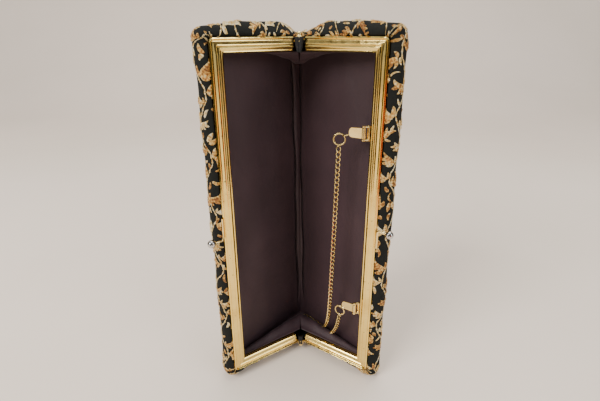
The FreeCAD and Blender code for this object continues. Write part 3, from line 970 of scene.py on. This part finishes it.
class Weaving:
    """Raised motifs laid out in cloth coordinates, then pressed onto the cover."""

    def __init__(self, side, seed):
        self.side = side
        self.random = random.Random(seed)
        self.build = Build()
        self.taken = np.zeros((0, 3))

    def free(self, dots):
        """Claims the room under dots (x, z, radius) unless another motif has it."""
        dots = np.array(dots)
        if len(self.taken):
            gaps = np.hypot(
                dots[:, None, 0] - self.taken[None, :, 0], dots[:, None, 1] - self.taken[None, :, 1]
            )
            if (gaps < dots[:, None, 2] + self.taken[None, :, 2]).any():
                return False
        self.taken = np.vstack([self.taken, dots])
        return True

    def lobe(self, x, z, angle, length, width, bend, rise, tone, point=0.75):
        """One tapered, ribbed lobe that curves as it goes."""
        count = max(6, int(length / 0.85))
        shares = np.linspace(0, 1, count + 1)
        across = np.array([-1, -0.72, -0.3, 0.3, 0.72, 1.0])
        heading = angle + bend * (shares - 0.5)
        step = length / count
        line_x = x + np.concatenate([[0], np.cumsum(np.cos(heading[:-1]) * step)])
        line_z = z + np.concatenate([[0], np.cumsum(np.sin(heading[:-1]) * step)])
        half = width / 2 * np.sin(math.pi * shares ** point) ** 0.75 + 0.06
        cx = line_x[:, None] - np.sin(heading)[:, None] * half[:, None] * across[None]
        cz = line_z[:, None] + np.cos(heading)[:, None] * half[:, None] * across[None]
        odd = (np.arange(count + 1) % 2)[:, None]
        dome = (1 - across[None] ** 2) ** 0.5
        tapered = np.sin(math.pi * np.clip(shares, 0.04, 0.96))[:, None] ** 0.4
        lift = (rise * dome * tapered + 0.22 * odd * dome) - 0.10
        points, left, normal = outward(self.side, cx, cz, 0.3)
        # shade is the lobe's thread tone, lighter towards its edges, with painted shade on the lower rows
        # between the raised ribs (0.34 darker)
        shade = tone - 0.34 * (1 - odd) + 0.40 * across[None] ** 2 + 0.08 * np.sin(shares * 9)[:, None]
        run = np.broadcast_to((shares * length)[:, None], cx.shape)
        cloth = np.stack([run, half[:, None] * across[None]], -1)
        self.build.grid(
            points + normal * lift[..., None] * MM, cloth * MM, np.clip(shade, 0, 1), keep=left > 0.4
        )

    def room(self, x, z, angle, length, bend, reach):
        """Dots of that reach along a curved line."""
        dots = []
        steps = max(2, int(length / 1.6))
        for k in range(steps):
            heading = angle + bend * ((k + 0.5) / steps - 0.5)
            x, z = x + math.cos(heading) * length / steps, z + math.sin(heading) * length / steps
            dots.append((x, z, reach))
        return dots

    def fan(self, x, z, angle, size):
        """A pair of lobes with dark cloth between them, and their curling stem."""
        draw = self.random.uniform
        tone = draw(0.30, 0.85)
        spread = draw(0.42, 0.58)
        lobes, dots = [], []
        for turn in (-0.5, 0.5):
            width = draw(2.4, 3.3)
            length = size * (1 - 0.18 * abs(turn)) * draw(0.9, 1.0)
            start = (x - math.sin(angle) * turn * 1.3, z + math.cos(angle) * turn * 1.3)
            bend = draw(-0.25, 0.25) - turn * 0.7
            lobes.append((*start, angle + turn * spread, length, width, bend))
            dots += self.room(*start, angle + turn * spread, length, bend, width / 2 + GAP)
        if not self.free(dots):
            return
        for place in lobes:
            self.lobe(*place, draw(0.5, 0.75), tone + draw(-0.15, 0.15))
        back = angle + math.pi + draw(-0.4, 0.4)
        start = (x + math.cos(back) * 0.6, z + math.sin(back) * 0.6)
        self.stem(*start, back, size * draw(0.6, 1.0), draw(-2.4, 2.4), tone)

    def leaf(self, x, z, angle, size, curl):
        """A curling leaf: one broad lobe with smaller ones stepping off its outer side."""
        draw = self.random.uniform
        tone = draw(0.30, 0.75)
        bend = curl * draw(1.0, 1.7)
        lobes = [(x, z, angle, size, size * draw(0.28, 0.34), bend)]
        for share in (0.12, 0.34, 0.56):
            heading = angle + bend * (share - 0.5)
            at_x = x + math.cos(angle + bend * (share / 2 - 0.5)) * size * share
            at_z = z + math.sin(angle + bend * (share / 2 - 0.5)) * size * share
            out = heading - curl * draw(0.75, 1.0)
            reach, width = size * draw(0.46, 0.56), size * draw(0.19, 0.23)
            lobes.append((at_x, at_z, out, reach, width, curl * draw(0.5, 1.1)))
        inner = angle + curl * 0.75
        lobes.append((x, z, inner, size * 0.42, size * 0.17, -curl * 0.8))
        dots = []
        for at_x, at_z, out, length, width, turn in lobes:
            dots += self.room(at_x, at_z, out, length, turn, width / 2 + GAP)[1:]
        if not self.free(dots):
            return False
        for place in lobes:
            self.lobe(*place, draw(0.55, 0.8), tone + draw(-0.18, 0.18))
        return True

    def vine(self, x, phase):
        """A wavy stem up the cloth, with leaves that curl off it by turns."""
        draw = self.random.uniform
        low, high = CORNER - 38, LENGTH - CORNER + 38
        sway_at = lambda z: x + VINE_SWAY * math.sin(math.tau * z / VINE_WAVE + phase)
        places = [(sway_at(z), z) for z in np.arange(low, high, 3.0)]
        for (x0, z0), (x1, z1) in zip(places, places[1:]):
            run = math.hypot(x1 - x0, z1 - z0)
            self.lobe(x0, z0, math.atan2(z1 - z0, x1 - x0), run + 0.7, 1.25, 0.0, 0.36, 0.75, point=0.25)
        self.taken = np.vstack([self.taken, [(px, pz, 0.55) for px, pz in places]])
        at = low + draw(0, 5)
        side = 1
        while at < high:
            for size in (draw(12.5, 16), 10.5, 8.0):
                lean = math.pi / 2 - side * draw(0.7, 1.15)
                if self.leaf(sway_at(at) + side * 1.3, at, lean, size, side * draw(0.8, 1.1)):
                    break
            side = -side
            at += draw(3.6, 5.2)

    def stem(self, x, z, angle, length, bend, tone):
        dots = self.room(x + math.cos(angle) * 2, z + math.sin(angle) * 2, angle, length - 2, bend, 0.5)
        if self.free(dots):
            self.lobe(x, z, angle, length, 1.0, bend, 0.34, tone + 0.15, point=0.6)

    def all_over(self):
        draw = self.random.uniform
        low, high = CORNER - PAST_ENDS, LENGTH - CORNER + PAST_ENDS
        spot = lambda: (draw(-2, PANEL_WIDE + PAST_PANEL), draw(low, high))
        for k in range(5):
            self.vine(PANEL_WIDE + 14 - VINE_GAP * k, 1.7 * k + self.side)
        for size, tries in ((11, 900), (8.5, 1500)):
            for _ in range(tries):
                self.leaf(*spot(), draw(0, math.tau), size * draw(0.9, 1.15), self.random.choice((-1, 1)))
        for _ in range(900):
            x, z = spot()
            swirl = 0.9 + 0.8 * math.sin(x * 0.07) + 1.1 * math.sin(z * 0.06 + 1.3)
            angle = swirl + draw(-0.5, 0.5) + math.pi * self.random.randint(0, 1)
            self.fan(x, z, angle, draw(6, 8))
        for _ in range(3200):
            x, z = spot()
            angle = draw(0, math.tau)
            length, bend, width = draw(3.5, 7.5), draw(-1.9, 1.9), draw(1.4, 2.6)
            if self.free(self.room(x, z, angle, length, bend, width / 2 + GAP)):
                self.lobe(x, z, angle, length, width, bend, draw(0.35, 0.5), draw(0.25, 0.9))


def woven_leaves():
    build = Build()
    for side, seed in ((1, 11), (-1, 23)):
        weaving = Weaving(side, seed)
        weaving.all_over()
        first = len(build.points)
        build.points += weaving.build.points
        build.cloth += weaving.build.cloth
        build.tones += weaving.build.tones
        build.slots += weaving.build.slots
        build.faces += [[first + k for k in face] for face in weaving.build.faces]
    obj = build.make("brocade_leaves", [THREAD], sharp=math.radians(80), weld=1e-7)
    join_weights(obj)


# ---------------------------------------------------------------- inside layers


def inside_sheet(name, material, near_share, depth, thickness, roll, half, node):
    """A layer of one half that follows the cover, depth mm under it."""
    side = HALVES[half]
    shares = np.linspace(near_share, 1, 26)
    cx = np.interp(shares, SHARES, PANEL_RUN)
    cx = np.concatenate([cx, PANEL_WIDE + roll * np.linspace(0.15, 1, 6)]) if roll else cx
    cz = np.linspace(CORNER - (roll or -1), LENGTH - CORNER + (roll or -1), 60)
    grid_x, grid_z = np.meshgrid(cx, cz)
    points, _, normal = outward(side, grid_x, grid_z, 0.4)
    build = Build()
    outer = points - normal * depth * MM
    inner = points - normal * (depth + thickness) * MM
    loop = np.concatenate([outer, inner[:, ::-1]], axis=1)
    first = build.grid(loop, closed=True)
    width = loop.shape[1]
    for start in (first, first + (len(cz) - 1) * width):
        for k in range(len(cx) - 1):
            build.faces.append([start + k, start + k + 1, start + width - 2 - k, start + width - 1 - k])
            build.slots.append(0)
    obj = build.make(name, [material])
    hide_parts(node)
    join_weights(obj)


def inside_layers():
    for half in HALVES:
        inside_sheet(
            f"cotton_wadding_{half}", WADDING, 0.06, 0.9, 1.1, 9.0, half, f"wadding_{half}"
        )
        inside_sheet(
            f"buckram_board_{half}", BOARD, 0.09, 2.3, 1.0, 0.0, half, f"stiffener_board_{half}"
        )


# ---------------------------------------------------------------- lining

LINING_DEPTH = 4.6             # under the cover's outside
LINING_SIDE = REACH - BAND
MOUTH = 4.3                    # depth at which the lining leaves the frame


def lining_wall(share):
    """(u, n) on the lining's back panel, from the middle plane to the frame's side."""
    u, n = panel_at(share)
    edge = LINING_SIDE + 0.3
    return u * edge / BACK_EDGE, n - LINING_DEPTH / math.cos(math.radians(14)) - 0.5


def lining_y_shift(x, z):
    """Folds down the spine, in metres of depth: two deep creases beside a soft middle strip."""
    high = np.clip(z / 0.2, 0, 1.1)
    strip = (0.6 - 2.9 * high) * MM
    wander = (0.35 * np.sin(z * 55) + 0.30 * np.sin(z * 131 + 1)) * MM
    left, right = strip - 2.5 * MM + wander, strip + 2.7 * MM - wander
    crease = np.exp(-((x - left) / (0.62 * MM)) ** 2) + 0.9 * np.exp(-((x - right) / (0.55 * MM)) ** 2)
    ends = smooth(z, 0.020, 0.045) * (1 - smooth(z, 0.208, 0.222))
    middle = np.exp(-((x - strip) / (1.7 * MM)) ** 2)
    return (crease * 4.6 * MM - middle * 1.0 * MM) * ends


def floor_height(near, r, x):
    """The bottom lining's height above the frame's lower end; r runs from the leg to the panel."""
    soft = 1 - 0.75 * smooth(near, 0.25, 1.0)
    crest = np.exp(-((r - 0.42) / 0.26) ** 2)
    valley = smooth(r, 0.60, 0.80)
    pleat = 0.8 * np.cos(x / MM * 0.55) * crest * soft
    base = BAND + 0.3 - 0.6 * smooth(r, 0, 0.15)
    return base + crest * (3.9 * soft + 0.3) - valley * 4.3 * (0.35 + 0.65 * soft) + pleat * 0.6


def ceiling_height(near, r, x):
    """The top lining's height: it sags in gathers behind the hinge."""
    sag = np.clip(1 - near / 0.52, 0, 1) ** 1.25 * np.sin(np.clip(r, 0, 1) * math.pi * 0.92) ** 0.8
    gathers = 0.55 * np.cos(x / MM * 0.85 + 0.6) * sag * smooth(r, 0.1, 0.4)
    return LENGTH - BAND - 0.3 + 3.6 * smooth(r, 0.1, 0.9) * (1 - sag) - 8.8 * sag + gathers


def lining():
    """The dark faille, one cloth over both halves' insides."""
    build = Build()
    shares = np.concatenate([np.linspace(0, 0.12, 34), np.linspace(0.135, 1, 34)])
    heights = np.linspace(4.0, LENGTH - 4.4, 88)
    wall_u, wall_n = lining_wall(shares)
    r_steps = np.linspace(0, 1, 22)
    for side in HALVES.values():
        back = np.zeros((len(heights), len(shares), 3))
        back[..., 0], back[..., 1], back[..., 2] = wall_u, wall_n, heights[:, None]
        ripple = np.array(
            [[noise.noise(Vector((u * 0.05 + 9 * side, z * 0.018, 2.0))) for u in wall_u] for z in heights]
        )
        back[..., 1] += ripple * 1.1 * np.sin(math.pi * shares) ** 0.5
        points = rows(side, back)
        points[..., 1] -= 0.0022 * np.clip(1 - np.abs(points[..., 0]) / 0.007, 0, 1) ** 2
        points[..., 1] += lining_y_shift(points[..., 0], points[..., 2])
        cloth = np.stack(np.meshgrid(shares * 80, heights), -1) * MM
        build.grid(points, cloth)

        depths = np.linspace(MOUTH, wall_n[-1], 10)
        wall = np.zeros((len(heights), len(depths), 3))
        bow = 0.5 * np.sin(math.pi * np.linspace(0, 1, len(depths)))
        wall[..., 0], wall[..., 1] = wall_u[-1] + bow * 0.4, depths
        wall[..., 2] = heights[:, None]
        build.grid(rows(side, wall), np.stack(np.meshgrid(80 + depths, heights), -1) * MM)

        for level, height_at in ((0, floor_height), (-1, ceiling_height)):
            edge = points[level]
            mouth_u = np.maximum(LEG_START * 0.2 + (LINING_SIDE - 0.8) * shares, 0)
            mouth_u = mouth_u - SPINE_LEAN * MOUTH * (1 - shares)
            start = rows(side, np.stack([mouth_u, np.full_like(mouth_u, MOUTH), np.zeros_like(mouth_u)], -1))
            cap = start[None] * (1 - r_steps[:, None, None]) + edge[None] * r_steps[:, None, None]
            height = height_at(shares[None], r_steps[:, None], cap[..., 0] * side)
            meet = smooth(r_steps, 0.86, 1.0)[:, None]
            level_z = heights[level]
            cap[..., 2] = ((height * (1 - meet) + level_z * meet) + FRAME_LOW) * MM
            build.grid(cap, np.stack(np.meshgrid(shares * 80, r_steps * 30), -1) * MM)
    obj = build.make("faille_lining", [LINING], sharp=math.radians(80), weld=6e-5)
    thicken(obj, 0.0004)
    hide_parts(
        "lining_right", "lining_left", "spine_lining", "gusset_lining_top", "gusset_lining_bottom"
    )
    join_weights(obj)


def hinge_webs():
    """The little folded black web round the hinge, between the two legs at each end."""
    for end, low, high in (("top", LENGTH - BAND - 0.8, LENGTH - 0.2), ("bottom", 0.2, BAND - 0.8)):
        build = Build()
        across = np.linspace(-1, 1, 29)
        heights = np.linspace(low, high, 14)
        points = np.zeros((len(heights), len(across), 3))
        bearing = np.radians(-90 + 70 * across)
        for i, height in enumerate(heights):
            fold = 0.40 * np.cos(across * math.pi * 2.5) * (1 - across ** 2)
            reach = 2.7 - fold + 0.12 * math.sin(height * 1.3)
            narrow = 0.62 + 0.38 * float(smooth(height, LENGTH - BAND, LENGTH - 3.5)) if end == "top" else 0.7
            points[i, :, 0] = reach * np.cos(bearing) * narrow * MM
            points[i, :, 1] = reach * np.sin(bearing) * MM + HINGE[1]
            points[i, :, 2] = (height + FRAME_LOW) * MM
        build.grid(points, np.stack(np.meshgrid(across * 5, heights), -1) * MM)
        obj = build.make(f"hinge_web_{end}", [WEB], sharp=math.radians(80))
        thicken(obj, 0.0003)
        join_weights(obj)


# ---------------------------------------------------------------- small metal


def rivets():
    """Domed rivets: a two-tier head at the top end, a ball at the bottom one."""
    for end, direction, z in (("top", 1, LENGTH + FRAME_LOW), ("bottom", -1, FRAME_LOW)):
        build = Build()
        centre = (HINGE[0], HINGE[1], z * MM)
        head = [(-0.0007, 0.0), (-0.0007, 0.0021), (-0.0005, 0.0023), (0.0001, 0.0023), (0.0003, 0.0021)]
        if end == "top":
            head += [(0.0004, 0.0014), (0.0009, 0.0013), (0.0012, 0.0016), (0.0017, 0.00155)]
            dome_base, dome_radius = 0.0017, 0.00155
        else:
            head += [(0.0004, 0.0009)]
            dome_base, dome_radius = 0.0018, 0.0016
        first = 0.0 if end == "top" else -0.30 * math.pi
        squash = 0.75 if end == "top" else 1.0
        for k in range(1, 13):
            angle = first + (math.pi / 2 - first) * k / 12
            rise = dome_base + dome_radius * squash * math.sin(angle)
            head.append((rise, max(dome_radius * math.cos(angle), 0)))
        lathe(build, centre, (0, 0, direction), head)
        shank = [
            (-0.0045, 0.0), (-0.0045, 0.0016), (-0.0040, 0.0017),
            (-0.0036, 0.0016), (-0.0035, 0.0011), (-0.0006, 0.0011),
        ]
        lathe(build, centre, (0, 0, direction), shank)
        obj = build.make(f"hinge_pin_{end}", [CLIP_GOLD])
        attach(obj, "right_half")
        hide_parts(f"hinge_rivet_{end}")


def clasp():
    """The two bent arms and the balls that snap past each other."""
    for name, side in HALVES.items():
        low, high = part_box(f"clasp_ball_{name}")
        ball_at = (low + high) / 2
        radius = (high.z - low.z) / 2
        strip_low, strip_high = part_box(f"clasp_arm_{name}")
        ball_z = ball_at.z / MM - FRAME_LOW
        end_z = (strip_low.z if name == "right" else strip_high.z) / MM - FRAME_LOW
        route = [
            (REACH + 0.7, 1.2, end_z),
            (REACH + 0.85, 1.1, end_z + (ball_z - end_z) * 0.5),
            (REACH + 0.95, 1.0, end_z + (ball_z - end_z) * 0.86),
            (REACH + 1.9, 0.9, ball_z),
            (REACH + 4.2, 0.6, ball_z),
            (REACH + 7.6, 0.4, ball_z),
        ]
        line = spline_at(route, 30)
        build = Build()
        tube(build, rows(side, line), [0.00095] * 31, sides=14, flat=0.62)
        obj = build.make(f"snap_arm_{name}", [CLIP_GOLD])
        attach(obj, f"{name}_half")
        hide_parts(f"clasp_arm_{name}")
        build = Build()
        outline = []
        for k in range(25):
            angle = math.pi * (k / 24 - 0.5)
            outline.append((radius * math.sin(angle), max(radius * math.cos(angle), 0)))
        lathe(build, ball_at, rows(side, (1, 0, 0)) - rows(side, (0, 0, 0)), outline, sides=40)
        obj = build.make(f"snap_ball_{name}", [SILVER])
        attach(obj, f"{name}_half")
        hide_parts(f"clasp_ball_{name}")


CLIPS = {                      # clip height, ring centre (u, z) and how far the ring faces away
    "upper": (173.0, 28.8, 167.6, 29.0),
    "lower": (51.0, 33.5, 44.9, 0.0),
}
CLIP_U = 44.6
RING_MID, RING_WIRE = 3.5, 0.55


def clip(place, clip_z, ring_u, ring_z, ring_turn):
    facing = rows(1, (0, 1, 0)) - rows(1, (0, 0, 0))
    local = lambda u, n, z: rows(1, (u, n, z))

    build = Build()
    wall = LINING_SIDE - 0.15
    shelf = [(wall, 1.0), (wall, 4.0), (wall - 0.9, 4.1), (wall - 1.8, 3.2), (wall - 1.9, 1.4)]
    for low, high in ((-4.6, -3.15), (3.15, 4.6)):
        lathe(
            build, local(CLIP_U, 0, clip_z), (0, 0, 1),
            [
                (low * MM, 0), (low * MM, 0.0008), ((low + 0.2) * MM, 0.0011),
                ((high - 0.2) * MM, 0.0011), (high * MM, 0.0008), (high * MM, 0),
            ],
            sides=20,
        )
        arm_shape = ((CLIP_U, 0.5), (CLIP_U + 1.2, 0.9), (wall - 1.0, 1.9), (wall, 2.0))
        arm = [local(u, n, clip_z + (low + high) / 2) for u, n in arm_shape]
        tube(build, arm, 0.7 * MM, sides=10)
    rings = []
    for z, grow in ((-4.5, 0.9), (-4.3, 1.0), (4.3, 1.0), (4.5, 0.9)):
        grown = ((wall + (u - wall) * grow, 2.6 + (n - 2.6) * grow) for u, n in shelf)
        rings.append([tuple(local(u, n, clip_z + z)) for u, n in grown])
    first = build.grid(rings, closed=True)
    build.cap(first, len(shelf))
    build.cap(first + 3 * len(shelf), len(shelf))
    bracket = build.make(f"{place}_bracket", [CLIP_GOLD])
    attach(bracket, "right_half")
    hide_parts(f"{place}_clip_bracket")

    build = Build()
    leaf_end = CLIP_U - 9.6
    neck_z = clip_z - 1.6
    outline = [
        (CLIP_U - 0.9, clip_z - 3.1), (leaf_end + 2.6, clip_z - 3.2), (leaf_end + 1.3, clip_z - 3.0),
        (leaf_end + 0.5, clip_z - 2.3), (leaf_end + 0.1, clip_z - 1.4), (leaf_end + 0.1, clip_z + 0.6),
        (leaf_end + 0.7, clip_z + 1.9), (leaf_end + 1.7, clip_z + 2.8), (CLIP_U - 0.9, clip_z + 3.1),
    ]
    plate(build, [(local(u, 0, z), facing) for u, z in outline], 0.9 * MM, bevel=0.16)
    lathe(
        build, local(CLIP_U, 0, clip_z), (0, 0, 1),
        [
            (-3.0 * MM, 0.00055), (-3.0 * MM, 0.0009), (-2.8 * MM, 0.0011),
            (2.8 * MM, 0.0011), (3.0 * MM, 0.0009), (3.0 * MM, 0.00055),
        ],
        sides=20,
    )
    hook_u = ring_u + RING_MID * 0.80
    hook_z = ring_z + RING_MID * 0.62
    link = []
    for k in range(20):
        angle = math.tau * k / 20
        mid_u, mid_z = (leaf_end + hook_u) / 2 - 0.2, (neck_z + hook_z) / 2
        u, z = mid_u + 1.9 * math.cos(angle), mid_z + 0.55 * math.cos(angle)
        link.append(local(u, 0.75 * math.sin(angle), z))
    tube(build, link, 0.42 * MM, sides=8, closed=True)
    tab = build.make(f"{place}_tab", [CLIP_GOLD], sharp=math.radians(30))
    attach(tab, "handle")
    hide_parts(f"{place}_clip_tab")

    build = Build()
    turn = math.radians(ring_turn)
    hoop = []
    for k in range(48):
        angle = math.tau * k / 48
        flat, high = RING_MID * math.cos(angle), RING_MID * math.sin(angle)
        hoop.append(local(ring_u + flat * math.cos(turn), flat * math.sin(turn), ring_z + high))
    tube(build, hoop, RING_WIRE * MM, sides=12, closed=True)
    ring = build.make(f"{place}_split_ring", [CLIP_GOLD])
    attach(ring, "handle")
    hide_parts(f"{place}_clip_ring")


def dress_cad_nodes():
    """A finish for the CAD pieces whose own shape is kept."""
    for obj in frame["nodes"].values():
        if obj.hide_render:
            continue
        obj.data.materials.clear()
        obj.data.materials.append(CLIP_GOLD)


camera()
backdrop()
studio()
chain()
metal_frames()
paper_cords()
cover()
woven_leaves()
inside_layers()
lining()
hinge_webs()
rivets()
clasp()
for clip_place, clip_sizes in CLIPS.items():
    clip(clip_place, *clip_sizes)
dress_cad_nodes()
